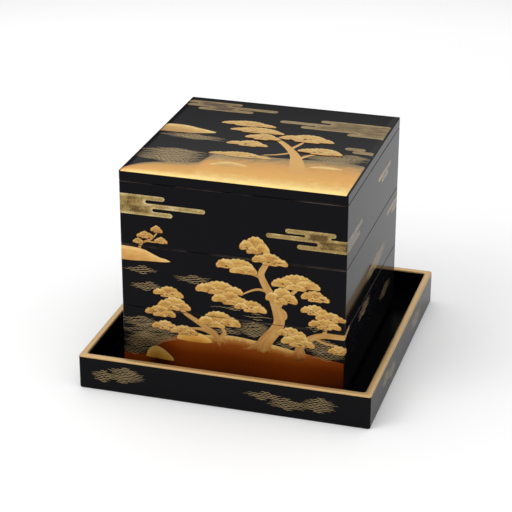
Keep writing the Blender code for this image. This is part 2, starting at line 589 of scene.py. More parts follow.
def bar_depth(x, z, bars, fills, half):
    """How deep places lie inside mist: the most of what each bar and each fill says.

    A bar is a line with round ends. A fill closes the gap between two bars, and each of
    its ends is hollowed by the round end of the gap that goes on from it.
    """
    depth = np.full(np.shape(x), -1.0)
    for start, stop, height in bars:
        beyond = np.maximum(np.maximum(start + half - x, x - stop + half), 0)
        depth = np.maximum(depth, half - np.hypot(beyond, z - height))
    for start, stop, upper, lower in fills:
        gap = (upper - lower) / 2 - half
        rise = z - (upper + lower) / 2
        ends = (x - start + gap, stop + gap - x)
        reach = [np.where(end > 0, np.hypot(end, rise) - gap, -1.0) for end in ends]
        inside = np.abs(rise) < gap + half
        depth = np.maximum(depth, np.where(inside, np.minimum(*reach), -1.0))
    return depth


def mist(film, bank, thickness):
    """Adds a bank of mist given in millimetres: round-ended bars, joined here and there.

    The tone is the depth inside the whole bank, as a share of a bar's half thickness and
    up to MIST_FILL, and the bank's shade on top of it. Round the front's right corner the
    mist is darker, as painted shade on the side away from the light.
    """
    bars, fills = mm(*bank["bars"]), mm(*bank.get("fills", ()))
    half = thickness / 2
    side = np.linspace(-1, 1, MIST_ACROSS)

    def steps(start, stop, least):
        return np.linspace(0, 1, max(least, int((stop - start) / MIST_STEP)))[:, None]

    def add_grid(x, height, level):
        z = np.broadcast_to(height, x.shape)
        top = np.stack([x, z, np.full(x.shape, level)], axis=-1)
        # Darker round the front's right corner: painted shade on the side away from the light
        side_shade = MIST_SIDE_SHADE * np.clip((x - MIST_SIDE_SHADE_FROM) / MIST_SIDE_SHADE_WIDTH, 0, 1)
        depth = np.minimum(bar_depth(x, z, bars, fills, half) / half, MIST_FILL)
        film.sheet(top, top[..., :2], depth + side_shade + bank.get("shade", 0.0))

    for start, stop, height in bars:
        ends = half * (1 - np.sqrt(1 - side**2))
        x = start + ends + steps(start, stop, 8) * (stop - start - 2 * ends)
        add_grid(x, height + half * side, MIST_LEVEL)
    for start, stop, upper, lower in fills:
        gap = (upper - lower) / 2 - half
        rise = side * (gap + 0.3 * half)
        hollow = np.sqrt(np.maximum(gap**2 - rise**2, 0))
        x = start - gap + hollow + steps(start, stop, 6) * (stop - start + 2 * (gap - hollow))
        add_grid(x, (upper + lower) / 2 + rise, MIST_LEVEL - FILL_DROP)


def lobe(film, centre, width, height, level, power, grow=0.0):
    """Adds a lobe of needles, and returns a function that gives lines across it.

    Over the way along, from -1 to 1, its top is a power of 1 less the way's square. The
    lobe is blunt at its ends, as the root of 1 less a power of the way. The absolute value
    of a sine raises its top in scallops that meet in points, and a slower one its underside.
    The pattern's places count from a foot below, which the needles spread from. The tone
    rises from the underside to the top, and towards the rim: partly the gold's own gradation,
    partly painted shade underneath and painted highlight on top.
    """
    count = max(3, round(width / SCALLOP))
    swell = min(SCALLOP, 0.3 * width)
    walk = np.linspace(-1, 1, 4 * count + 1)
    way = 0.99 * np.sin(math.pi / 2 * walk)
    blunt = np.sqrt(1 - np.abs(way) ** power)
    scallops = swell * np.abs(np.sin(math.pi / 2 * count * (walk + 1)))
    dome = LOBE_DOME * (1 - way**2) ** LOBE_POWER
    upper = height * (dome + LOBE_SHOULDER * blunt) + SCALLOP_HEIGHT * blunt * scallops
    under = np.abs(np.sin(math.pi / 2 * max(2, count // 2) * (walk + 1)))
    lower = -height * blunt * (LOBE_BELLY + LOBE_WAVE * under)
    along = (width / 2 + grow) * way
    middle = centre[1] - LOBE_DROOP * height * way**2
    upper, lower = upper + grow, lower - grow

    def line(share):
        return np.stack([centre[0] + along, middle + lower + share * (upper - lower)], axis=-1)

    share = np.array((0.0, 0.14, 0.5, 0.86, 1.0))
    flat = np.stack([line(part) for part in share], axis=1)
    out = np.broadcast_to(level + PAD_RISE * (1 - (2 * share - 1) ** 4), flat.shape[:2])
    top = np.concatenate([flat, out[..., None]], axis=-1)
    # Paler on top and towards the rim: partly the gold's gradation, partly painted highlight and
    # shade
    rim = np.abs(2 * share - 1) ** 2
    tone = 0.1 + 0.55 * share + 0.35 * np.maximum(rim, np.abs(way[:, None]) ** 6)
    film.sheet(top, flat - centre + (0.0, LOBE_FOOT * height), tone)
    return line


def pad(needles, ink_and_shade, x, z, width, height, slope, layer, power, thin, rng):
    """Adds a pad of needles: level lobes in steps down its slope, the nearer ones outlined.

    PAD_LOBES gives each one's place and size as shares of the pad's, and thin is a factor on
    their heights. The outlines are partly drawn line and partly painted shade. A thin scalloped
    line runs across each, and small spots of painted shadow lie between.
    """
    for number, row in enumerate(PAD_LOBES):
        shift, lift, wide, high = np.array(row) * (1, 1, *rng.uniform(*LOBE_SIZES, 2))
        shift = width * (shift + rng.uniform(*LOBE_SHIFTS))
        level = PAD_LEVEL + (len(PAD_LOBES) * layer + number) * PAD_STEP
        centre = np.array((x + shift, z + lift * height + slope * shift))
        form = (centre, wide * width, high * thin * height)
        # Nearer lobes get a dark outline: partly drawn line, partly painted shade
        if number:
            lobe(ink_and_shade, *form, level, power, INK_WIDTH)
        line = lobe(needles, *form, level + 0.3 * PAD_STEP, power)
        route = line(INK_LINE)
        near = np.abs(np.linspace(-1, 1, len(route)) - rng.uniform(*INK_LINE_SHIFTS)) < 0.5
        fine = np.full(near.sum(), INK_LINE_WIDTH)
        stroke(ink_and_shade, route[near], fine, level + PAD_RISE + 0.4 * PAD_STEP, 0.9, across=2)
    top = PAD_LEVEL + len(PAD_LOBES) * (layer + 1) * PAD_STEP
    # Small spots of painted shadow between the lobes
    for shift, lift in rng.uniform(*SPOT_PLACES, (SPOTS, 2)):
        centre = np.array((x + shift * width, z + lift * height + slope * shift * width))
        ends = np.array(SPOT_ROUTE) * min(1.0, width / SPOT_PAD) * MM
        stroke(ink_and_shade, centre + ends, np.array(SPOT_WIDTHS) * abs(ends[0, 0]), top, 0.1)


def limb(film, rows, tones, level):
    """Adds a trunk, branch or root through rows of (x, z, width), domed across.

    The tone runs evenly through its values from the start to the tip.
    """
    rows = smooth_path(rows, LIMB_STEPS * len(rows))
    tone = np.interp(np.linspace(0, 1, len(rows)), np.linspace(0, 1, len(tones)), tones)
    stroke(film, rows[:, :2], rows[:, 2], level, tone, LIMB_RISE, LIMB_ACROSS)


def grass(film, x, z, spread, rng):
    """Adds fine blades that fan out downwards where a tree stands and fade into the ground."""
    width = np.linspace(*BLADE_WIDTHS, BLADE_POINTS) * MM
    tone = np.linspace(*BLADE_TONES, BLADE_POINTS)
    for side in rng.uniform(-1, 1, BLADES):
        lean = side * spread
        top = z + (0.5 - 4 * abs(side) + rng.uniform(0, 3)) * MM
        drop = rng.uniform(*BLADE_LENGTHS) * MM
        rows = ((x + 0.8 * lean, top), (x + 0.9 * lean, top - 0.4 * drop), (x + lean, top - drop))
        stroke(film, smooth_path(rows, BLADE_POINTS), width, GRASS_LEVEL, tone)


def waves(
    film, x, z, width, height, rng, pitch=1.35 * MM, thick=0.42 * MM, slope=0.0, fullness=2
):
    """Adds a patch of ripples: rows of thin lines of small arcs inside an oval.

    The oval's half width is the root of 1 less a power of the height, an ellipse for 2 and
    fuller for more. Each line is the absolute value of a sine along the row, which gives
    arcs that meet in points, and every other line is half an arc further on.
    """
    count = max(3, int(height / pitch))
    for number, offset in enumerate(np.linspace(-WAVE_OUTERMOST, WAVE_OUTERMOST, count)):
        reach = width / 2 * math.sqrt(1 - abs(offset) ** fullness) * rng.uniform(0.8, 1.08)
        middle = x + 0.07 * width * rng.uniform(-1, 1)
        along = np.linspace(-reach, reach, max(8, int(2 * reach / WAVE_STEP)))
        phase = math.pi / 2 * number + rng.uniform(-0.5, 0.5)
        arcs = np.abs(np.sin(math.pi * along / WAVE_ARC + phase))
        swell = SWELL_HEIGHT * np.sin(math.pi * along / SWELL_LENGTH + 2 * offset)
        rise = rng.uniform(*WAVE_HEIGHTS) * MM * arcs + swell + slope * along
        route = np.stack([middle + along, z + offset * height / 2 + rise], axis=1)
        taper = thick * np.sqrt(1.02 - (along / reach) ** 2)
        tone = 1 - 0.5 * np.abs(along / reach) ** 2
        stroke(film, route, taper, WAVE_LEVEL, tone, across=2)


def mound(film, rows, level, columns=90, lines=10):
    """Adds a hill, a rock or a shore: a smooth crest through rows, filled down to its base.

    A row is (x, crest, base), and may go on with a depth that shades it. The tone is the
    way down from the crest, and that depth, in centimetres.
    """
    rows = smooth_path(rows, columns)
    share = np.linspace(0, 1, lines)
    x = np.broadcast_to(rows[:, :1], (columns, lines))
    z = rows[:, 2:3] + (rows[:, 1:2] - rows[:, 2:3]) * share
    out = np.broadcast_to(level + HILL_RISE * np.sin(math.pi * share), x.shape)
    top = np.stack([x, z, out], axis=-1)
    shade = rows[:, 3:].sum(axis=1, keepdims=True)
    film.sheet(top, top[..., :2], (rows[:, 1:2] - z + shade) / (10 * MM))


def lid_shore(film, shoreline, box):
    """Adds the shore of the lid, from a smooth line of (x, y) to the front edge.

    The tone is the share of the way forward, and the palest gold at the front edge is partly
    painted highlight.
    """
    rows = smooth_path(shoreline, LID_SHORE_COLUMNS)
    reach = box.width / 2 - LID_TRIM * box.edge
    side = np.linspace(-1, 1, LID_SHORE_COLUMNS)
    shore = np.interp(side * reach, rows[:, 0], rows[:, 1])
    share = np.linspace(0, 1, LID_SHORE_LINES)
    y = -reach + (shore[:, None] + reach) * share
    x = np.broadcast_to(side[:, None] * (box.width / 2 - LID_MARGIN), y.shape)
    top = np.stack([x, y, np.full(x.shape, SHORE_LEVEL)], axis=-1)
    film.sheet(top, top[..., :2], np.broadcast_to(1 - share, x.shape))


def new_films():
    """An empty film for each finish of the picture."""
    names = ("shore", "hill", "moss", "wave", "mist", "bark", "ink_and_shade", "foliage")
    return {name: Film() for name in names}


def add_tree(films, tree, rng):
    """Adds a pine: its limbs, its roots, its pads of needles and the grass at its foot."""
    tree = {**PINE_FORM, **tree}
    for row in tree["grass"]:
        grass(films["bark"], *mm(*row), rng)
    for rows in tree["roots"]:
        limb(films["bark"], mm(*rows), ROOT_TONES, LIMB_LEVEL - ROOT_DROP)
    for number, rows in enumerate(tree["limbs"]):
        tones = BRANCH_TONES if number else (tree["ground"], *TRUNK_TONES)
        limb(films["bark"], mm(*rows), tones, LIMB_LEVEL - BRANCH_DROP * (number > 0))
    for number, row in enumerate(tree["pads"]):
        form = (*mm(*row[:4]), row[4], number % 3, tree["power"], tree["thin"])
        pad(films["foliage"], films["ink_and_shade"], *form, rng)


# Laying slabs on the box

# Points closer than this to a cut lie on it
ON_CUT = 1e-8

# Steps in which a film bends round an upright corner, and down the lid's crown from its edge
CORNER_CUTS = 4
CROWN_CUTS = 9
CROWN_EDGE = 1.1 * MM


def join(name, slabs):
    """One flat mesh of many slabs, with their places as a UV map and their tones."""
    starts = np.concatenate([[0], np.cumsum([len(slab[0]) for slab in slabs])[:-1]])
    points, places, tones = (np.concatenate([slab[part] for slab in slabs]) for part in (0, 2, 3))
    polygons = [faces + start for slab, start in zip(slabs, starts) for faces in slab[1]]
    mesh, loops = fill_mesh(name, points, polygons)
    pattern = mesh.uv_layers.new(name="pattern")
    pattern.data.foreach_set("uv", places[loops].astype(np.float32).ravel())
    add_value(mesh, "tone", tones)
    return mesh


def cut(mesh, lines, limits):
    """Cuts a flat mesh along lines, and off beyond limits, and closes it there.

    A line is (axis, value), and a limit is (axis, value, the side that goes).
    """
    work = bmesh.new()
    work.from_mesh(mesh)
    for axis, value, *side in [*lines, *limits]:
        place, normal = Vector(), Vector()
        place[axis] = value
        normal[axis] = side[0] if side else 1
        bmesh.ops.bisect_plane(
            work, geom=[*work.verts, *work.edges, *work.faces], dist=ON_CUT,
            plane_co=place, plane_no=normal, clear_outer=bool(side),
        )
    bmesh.ops.holes_fill(work, edges=[edge for edge in work.edges if edge.is_boundary], sides=0)
    work.to_mesh(mesh)
    work.free()


def lay(name, film, lines, limits, surface, material):
    """Puts a film on a surface as one piece of gold, or leaves it out if nothing is there.

    Slabs that no line or limit crosses are kept as they are, and the others are cut first.
    """
    whole, crossed, marks = [], [], [*lines, *limits]
    for slab in film.slabs:
        low, high = slab[0].min(axis=0), slab[0].max(axis=0)
        if any((low if side > 0 else -high)[axis] > value * side for axis, value, side in limits):
            continue
        meets = any(low[axis] < value < high[axis] for axis, value, *_ in marks)
        (crossed if meets else whole).append(slab)
    parts = [join(name, slabs) for slabs in (whole, crossed) if slabs]
    if crossed:
        cut(parts[-1], lines, limits)
    work = bmesh.new()
    for part in parts:
        work.from_mesh(part)
    for part in parts[1:]:
        bpy.data.meshes.remove(part)
    if work.faces:
        work.to_mesh(parts[0])
        move_points(parts[0], surface)
        parts[0].name = name
        add_object(parts[0], material)
    work.free()


def move_points(mesh, surface):
    """Takes a flat mesh to its place on a surface, and shades it."""
    points = np.empty(len(mesh.vertices) * 3, np.float32)
    mesh.vertices.foreach_get("co", points)
    points = surface(*points.reshape(-1, 3).astype(float).T)
    mesh.vertices.foreach_set("co", np.stack(points, axis=1).astype(np.float32).ravel())
    mesh.shade_smooth()
    mesh.set_sharp_from_angle(angle=FILM_ANGLE)


def round_square(along, out, half, corner):
    """Places on a rounded square: along counts round it from the middle of the front.

    Each quarter is a straight side and a quarter circle, turned by a quarter from the last.
    """
    flat, arc = 2 * (half - corner), math.pi / 2 * corner
    quarter = flat + arc
    shifted = along + flat / 2
    turn = np.floor(shifted / quarter)
    walked = shifted - turn * quarter
    angle = np.maximum(walked - flat, 0) / corner
    reach = corner + out
    x = np.minimum(walked, flat) - flat / 2 + reach * np.sin(angle)
    y = -(half - corner) - reach * np.cos(angle)
    cosine, sine = np.cos(turn * math.pi / 2), np.sin(turn * math.pi / 2)
    return x * cosine - y * sine, x * sine + y * cosine


def corner_lines(half, corner):
    """Lines across every upright corner, so that a film can bend round it."""
    flat, arc = 2 * (half - corner), math.pi / 2 * corner
    starts = flat / 2 + (flat + arc) * np.arange(-2, 3)
    steps = arc * np.arange(CORNER_CUTS + 1) / CORNER_CUTS
    return [(0, float(start + step)) for start in starts for step in steps]


def lay_on_tiers(name, film, box, material):
    """Lays a film on the sides of the tiers, a piece for each tier.

    At a tier's edges the film follows the rounding: sunk by the edge's radius less the
    height of its circle, and leaning out with it.
    """
    half, edge = box.width / 2, box.edge
    for node in TIERS:
        low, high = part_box(node)
        bottom, top = low.z + box.foot, high.z

        def surface(along, up, out, bottom=bottom, top=top):
            near = np.minimum(up - bottom, top - up)
            lean = np.clip(1 - near / edge, 0, 1)
            upright = np.sqrt(1 - lean**2)
            x, y = round_square(along, out * upright - edge * (1 - upright), half, box.corner)
            tilt = np.where(up - bottom < top - up, -1, 1)
            return x, y, up + tilt * lean * out

        trim = TIER_TRIM * edge
        lines = corner_lines(half, box.corner)
        lines += [(1, bottom + share * edge) for share in (0.5, 1)]
        lines += [(1, top - share * edge) for share in (0.5, 1)]
        limits = [(1, bottom + trim, -1), (1, top - trim, 1)]
        lay(f"{node}_{name}", film, lines, limits, surface, material)


def lay_on_stand(name, film, stand, material):
    """Lays a film on the outer sides of the stand."""
    half = stand.width / 2

    def surface(along, up, out):
        return (*round_square(along, out, half, stand.corner), up)

    lay(name, film, corner_lines(half, stand.corner), [], surface, material)


def lay_on_lid(name, film, box, material):
    """Lays a film on top of the lid, between dark margins at its sides, and at the front
    and the back down over its crown and onto its rounded edge.

    A point's way in from the outline is that of the rounded square through it: level with
    a side it is the way to that side, and near a corner the squares keep their radius.
    """
    half, edge, corner = box.width / 2, box.edge, box.corner
    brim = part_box("lid")[1].z - box.crown_rise
    _, start, drop = crown_edge(box)

    def surface(x, y, out):
        wide, deep = np.abs(x), np.abs(y)
        both, gap = wide + deep, np.abs(wide - deep)
        round_part = (both - np.sqrt(np.maximum(2 * corner**2 - gap**2, 0))) / 2 + corner
        inset = half - np.where(gap < corner, round_part, np.maximum(wide, deep))
        fall = np.sqrt(np.maximum(edge**2 - (edge - inset) ** 2, 0)) - drop
        height = np.where(inset < start, fall, crown_height(box, inset))
        return x, y, brim + height + out

    crown = np.linspace(CROWN_EDGE, box.crown_width, CROWN_CUTS).tolist()
    insets = (0.5 * edge, start, edge, *crown)
    sides = [(axis, sign) for axis in (0, 1) for sign in (-1, 1)]
    lines = [(axis, sign * (half - inset)) for axis, sign in sides for inset in insets]
    limits = [(0, sign * (half - LID_MARGIN), sign) for sign in (-1, 1)]
    limits += [(1, sign * (half - LID_TRIM * edge), sign) for sign in (-1, 1)]
    lay(name, film, lines, limits, surface, material)


# Materials

def add_node(tree, kind, sockets=None, **settings):
    """Adds a node, sets its settings, and gives its sockets values or links."""
    node = tree.nodes.new(kind)
    for name, value in settings.items():
        setattr(node, name, value)
    for name, value in (sockets or {}).items():
        if isinstance(value, bpy.types.NodeSocket):
            tree.links.new(value, node.inputs[name])
        else:
            node.inputs[name].default_value = value
    return node


def math_node(tree, operation, *values):
    """The result of an arithmetic operation on values or sockets."""
    return add_node(
        tree, "ShaderNodeMath", dict(enumerate(values)), operation=operation
    ).outputs["Value"]


def remap(tree, value, start, stop, low=0.0, high=1.0, **settings):
    """A value carried from one range to another, and held inside it."""
    sockets = {"Value": value, "From Min": start, "From Max": stop, "To Min": low, "To Max": high}
    return add_node(tree, "ShaderNodeMapRange", sockets, **settings).outputs["Result"]


def blend(tree, share, first, second):
    """A colour between two others, by the share of the second."""
    sockets = {"Factor": share, "A": first, "B": second}
    return add_node(tree, "ShaderNodeMix", sockets, data_type="RGBA").outputs["Result"]


def noise(tree, place, scale, detail):
    """Soft noise over a place."""
    sockets = {"Vector": place, "Scale": scale, "Detail": detail}
    return add_node(tree, "ShaderNodeTexNoise", sockets).outputs["Fac"]


def shared(maker):
    """The shader node group that a function makes, made once and placed in many materials."""
    if maker.__name__ not in bpy.data.node_groups:
        maker(bpy.data.node_groups.new(maker.__name__, "ShaderNodeTree"))
    return bpy.data.node_groups[maker.__name__]


def place_group(tree, maker, **sockets):
    """The outputs of a shared node group placed in a tree."""
    return add_node(tree, "ShaderNodeGroup", sockets, node_tree=shared(maker)).outputs


def open_group(tree, **defaults):
    """Gives a group its inputs, a vector and numbers by name, and returns their sockets."""
    tree.interface.new_socket("Vector", in_out="INPUT", socket_type="NodeSocketVector")
    for name, value in defaults.items():
        socket = tree.interface.new_socket(name, in_out="INPUT", socket_type="NodeSocketFloat")
        socket.default_value = value
    return tree.nodes.new("NodeGroupInput").outputs


def close_group(tree, **results):
    """Gives a group its outputs by name and links them."""
    for name in results:
        tree.interface.new_socket(name, in_out="OUTPUT", socket_type="NodeSocketFloat")
    add_node(tree, "NodeGroupOutput", results)


def lacquer_film(tree):
    """Polished lacquer: its paler edges, partly rubbed thin and partly painted highlight, its
    roughness, and its slight waves.
    """
    given = open_group(tree, Edge=0.0, Gloss=0.06)
    cloud = noise(tree, given["Vector"], scale=26.0, detail=3.0)
    wear_and_highlight = math_node(tree, "MULTIPLY", given["Edge"], remap(tree, cloud, 0.42, 0.68))
    rough = math_node(tree, "MULTIPLY", given["Gloss"], remap(tree, cloud, 0.0, 1.0, 0.6, 1.4))
    swell = noise(tree, given["Vector"], scale=18.0, detail=1.0)
    close_group(tree, Wear=wear_and_highlight, Roughness=rough, Height=swell)


def gold_powder(tree):
    """Gold powder: how thickly it lies at a place, and its grain as a height."""
    given = open_group(tree, Grain=1400.0, Patch=140.0)
    fine = noise(tree, given["Vector"], given["Grain"], detail=2.0)
    patch = noise(tree, given["Vector"], given["Patch"], detail=3.0)
    close_group(tree, Cover=math_node(tree, "ADD", fine, patch), Height=fine)


def needle_hatch(tree):
    """Fine needles that spread from a pad's foot: a sine of the angle about it."""
    given = open_group(tree, Count=240.0)
    parts = add_node(tree, "ShaderNodeSeparateXYZ", {"Vector": given["Vector"]}).outputs
    angle = math_node(tree, "ARCTAN2", parts["Y"], parts["X"])
    wave = math_node(tree, "SINE", math_node(tree, "MULTIPLY", angle, given["Count"]))
    close_group(tree, Lines=remap(tree, wave, -1.0, 1.0))


def new_material(name, sockets):
    """A material with its tree and its Principled shader, whose sockets get plain values."""
    material = bpy.data.materials.new(name)
    material.use_nodes = True
    shader = material.node_tree.nodes["Principled BSDF"]
    for socket, value in sockets.items():
        shader.inputs[socket].default_value = value
    return material, material.node_tree, shader


def add_bump(tree, shader, height, strength, distance):
    """Feeds a height over the surface to a shader as its normal."""
    sockets = {"Height": height, "Strength": strength, "Distance": distance}
    bump = add_node(tree, "ShaderNodeBump", sockets)
    tree.links.new(bump.outputs["Normal"], shader.inputs["Normal"])


def black_lacquer(name, finishes, black, refraction, gloss):
    """Polished black lacquer, a little paler on its edges, partly rubbed thin and partly
    painted highlight.
    """
    if name in bpy.data.materials:
        return bpy.data.materials[name]
    material, tree, shader = new_material(name, {"IOR": refraction})
    place = add_node(tree, "ShaderNodeTexCoord").outputs["Object"]
    edge = add_node(tree, "ShaderNodeAttribute", attribute_name="edge").outputs["Fac"]
    film = place_group(tree, lacquer_film, Vector=place, Edge=edge, Gloss=gloss)
    # Paler on the roundings: partly rubbed thin, partly painted highlight
    base = blend(tree, film["Wear"], (*black, 1), (*finishes.worn_and_highlit, 1))
    tree.links.new(base, shader.inputs["Base Color"])
    tree.links.new(film["Roughness"], shader.inputs["Roughness"])
    add_bump(tree, shader, film["Height"], strength=0.15, distance=0.2 * MM)
    return material


def box_lacquer(finishes):
    """The black of the tiers and the lid."""
    return black_lacquer(
        "box_black", finishes, finishes.black, finishes.refraction, finishes.gloss
    )


def ramp_node(tree, factor, stops):
    """A colour ramp through (place, colour) stops."""
    ramp = add_node(tree, "ShaderNodeValToRGB", {"Fac": factor})
    elements = ramp.color_ramp.elements
    for element, (place, tone) in zip(elements, (stops[0], stops[-1])):
        element.position = place
        element.color = (*tone, 1)
    for place, tone in stops[1:-1]:
        elements.new(place).color = (*tone, 1)
    return ramp.outputs["Color"]


def powdered(
    name, stops, span=1.0, metal=0.55, rough=0.42, mottle=0.3, hatch=0.0, grain=None,
    refraction=1.5,
):
    """Gold powder in relief, coloured along the tone and uneven where it lies thin.

    The stops are colours over the tone divided by the span. A hatch shades pads of needles.
    A grain draws the unevenness out along a stroke, by what it scales the pattern with.
    """
    if name in bpy.data.materials:
        return bpy.data.materials[name]
    sockets = {"Metallic": metal, "Roughness": rough, "IOR": refraction, **COAT}
    material, tree, shader = new_material(name, sockets)
    pattern = add_node(tree, "ShaderNodeUVMap", uv_map="pattern").outputs["UV"]
    if grain:
        place = add_node(
            tree, "ShaderNodeVectorMath", {0: pattern, 1: grain}, operation="MULTIPLY"
        ).outputs["Vector"]
    else:
        place = add_node(tree, "ShaderNodeTexCoord").outputs["Object"]
    powder = place_group(tree, gold_powder, Vector=place)
    tone = add_node(tree, "ShaderNodeAttribute", attribute_name="tone").outputs["Fac"]
    drift = remap(tree, powder["Cover"], 0.6, 1.4, -mottle, mottle)
    shade = ramp_node(tree, math_node(tree, "MULTIPLY_ADD", tone, 1 / span, drift), stops)
    if hatch:
        lines = place_group(tree, needle_hatch, Vector=pattern)["Lines"]
        factor = remap(tree, lines, 0.0, 1.0, 1 - hatch, 1.0)
        shade = blend(tree, factor, (*NEEDLE_SHADE, 1), shade)
    tree.links.new(shade, shader.inputs["Base Color"])
    add_bump(tree, shader, powder["Height"], strength=0.35, distance=0.06 * MM)
    return material


def shades(*rows):
    """Colours along a tone, from rows of (place, red, green, blue) as a screen shows them."""
    return tuple((row[0], paint(*row[1:])) for row in rows)


COAT = {"Coat Weight": 0.6, "Coat Roughness": 0.12, "Coat IOR": 1.165}
NEEDLE_SHADE = paint(118, 72, 28)
GOLDS = {
    "mist": dict(
        stops=shades(
            (0.0, 214, 192, 138), (0.1, 188, 164, 108), (0.24, 160, 134, 80), (0.4, 172, 144, 88),
            (0.55, 140, 114, 62), (0.7, 104, 80, 40), (1.0, 76, 60, 34),
        ),
        span=4.0, mottle=0.4, metal=0.3, refraction=1.25,
    ),
    "lid_mist": dict(
        stops=shades(
            (0.0, 182, 160, 116), (0.1, 158, 136, 94), (0.26, 140, 116, 74), (0.4, 160, 134, 86),
            (0.55, 124, 102, 64), (0.7, 88, 70, 44), (1.0, 64, 52, 34),
        ),
        span=4.0, mottle=0.5, grain=(0.5, 3.0, 1.0), refraction=1.25,
    ),
    "foliage": dict(
        stops=shades(
            (0.0, 168, 108, 40), (0.4, 214, 164, 80), (0.75, 230, 188, 102), (1.0, 246, 216, 146),
        ),
        mottle=0.5, hatch=0.25,
    ),
    "lid_foliage": dict(
        stops=shades(
            (0.0, 196, 140, 66), (0.4, 226, 180, 98), (0.75, 238, 202, 122), (1.0, 248, 222, 160),
        ),
        mottle=0.25, hatch=0.2,
    ),
    "bark": dict(
        stops=shades(
            (0.0, 112, 44, 8), (0.2, 150, 78, 20), (0.45, 182, 116, 46), (0.7, 188, 140, 68),
            (1.0, 206, 162, 96),
        ),
        mottle=0.4, grain=(0.5, 2.6, 1.0),
    ),
    "lid_bark": dict(
        stops=shades((0.0, 236, 168, 84), (0.4, 222, 164, 84), (1.0, 224, 178, 96)),
        mottle=0.5, grain=(0.5, 2.6, 1.0),
    ),
    "hill": dict(
        stops=shades((0.0, 238, 198, 124), (0.4, 222, 168, 92), (1.0, 198, 142, 70)),
        span=1.3, mottle=0.35, grain=(1.0, 3.0, 1.0),
    ),
    "lid_hill": dict(
        stops=shades((0.0, 244, 214, 142), (0.4, 224, 178, 98), (1.0, 194, 148, 78)),
        span=1.3, mottle=0.35, grain=(1.0, 3.0, 1.0),
    ),
    "moss": dict(
        stops=shades(
            (0.0, 246, 200, 108), (0.4, 234, 172, 70), (0.8, 206, 138, 44), (1.0, 168, 100, 26),
        ),
        span=1.3, mottle=0.2,
    ),
    "wave": dict(stops=shades((0.0, 112, 92, 60), (1.0, 184, 158, 110)), mottle=0.4),
    # The shore darkens downwards: partly gold fading into the lacquer, partly painted shade and
    # painted reflection of the dark stand
    "shore": dict(
        stops=shades(
            (0.0, 220, 184, 110), (0.055, 208, 160, 84), (0.1, 176, 114, 46), (0.18, 150, 74, 14),
            (0.45, 130, 52, 4), (0.7, 106, 42, 6), (1.0, 46, 18, 5),
        ),
        span=4.5, metal=0.3, mottle=0.04, grain=(3.2, 0.8, 1.0), refraction=1.25,
    ),
    # Palest at the lid's front edge: partly the gold's colour, partly painted highlight
    "lid_shore": dict(
        stops=shades(
            (0.0, 128, 110, 74), (0.1, 160, 132, 80), (0.2, 206, 154, 80), (0.4, 226, 165, 76),
            (0.7, 236, 178, 84), (1.0, 255, 224, 142),
        ),
        mottle=0.12,
    ),
    # Dark brown for outlines and drawn lines, partly painted shade, and for spots of painted
    # shadow
    "ink_and_shade": dict(
        stops=shades((0.0, 84, 48, 18), (0.4, 140, 90, 38), (1.0, 168, 114, 52)),
        metal=0.3, rough=0.5, mottle=0.1,
    ),
}


def gold(name):
    """The gold finish of that name in GOLDS."""
    return powdered(name + "_gold", **GOLDS[name])


# The picture, in millimetres
#
# A tree has pads as (place, height, width, depth, slope), limbs and roots through rows of
# (place, height, width), and grass at its foot as (place, height, spread). It may say otherwise
# than PINE_FORM, which has the power that blunts the pads' ends, the factor that thins them, and
# the tone where the trunk meets the ground. Mist has bars as (start, stop, height), and may have
# fills as (start, stop, upper, lower), each between two bars, and a shade. Ripples are (place,
# height, width, depth). Hills and shores are rows of (place, crest, base), which may go on with
# a depth that shades them.

PINE_FORM = dict(power=5, thin=1.0, ground=0.6, roots=(), grass=())
GREAT_PINE = dict(
    pads=(
        (19.2, 137, 25.6, 15.5, -0.08), (33, 126.4, 28, 10.6, -0.05),
        (4.9, 117.2, 35.9, 12.8, -0.15), (-10.6, 94.6, 39.5, 12.4, 0.05),
        (-1.6, 86.4, 28.5, 11.6, 0), (15.7, 81.6, 28.5, 10.2, -0.05), (54.8, 108, 42, 14, 0.06),
        (43.2, 94.2, 27, 14.2, 0), (71.6, 98.4, 25.4, 9.6, -0.08),
    ),
    limbs=(
        ((27, 41.6, 3), (27.2, 45, 9.6), (28.8, 50.5, 12), (32.4, 56, 10.8), (37.6, 63, 10),
         (41.2, 71, 9.6), (40, 81, 9.2), (35.4, 93, 7.4), (29, 104, 6.4), (25.5, 113, 5.6),
         (28, 120, 5), (33, 127, 3)),
        ((33, 98, 2.6), (24, 99.5, 2.1), (17, 97.5, 1.7), (9, 93, 1)),
        ((29, 105, 3.4), (24, 111, 3), (12, 114, 2.2), (2, 115, 1)),
        ((40, 86, 5), (46, 94, 4.4), (56, 103, 2.4)),
        ((44.6, 74, 1.2), (46.6, 76.6, 2.6), (46.4, 80.6, 2.6), (43.8, 84, 1.2)),
    ),
    roots=(
        ((32, 54, 8), (26, 50, 7.4), (20, 46, 4.6), (14.6, 43.6, 2.2), (9.4, 42.4, 0.7)),
        ((29, 53, 9), (26, 48, 7.4), (24, 44, 4.4), (22.6, 40.8, 1)),
        ((30, 53, 9), (31.6, 48, 6.6), (33.4, 44.4, 3.4), (34.8, 41.4, 0.8)),
    ),
    grass=((25, 40, 13),),
)
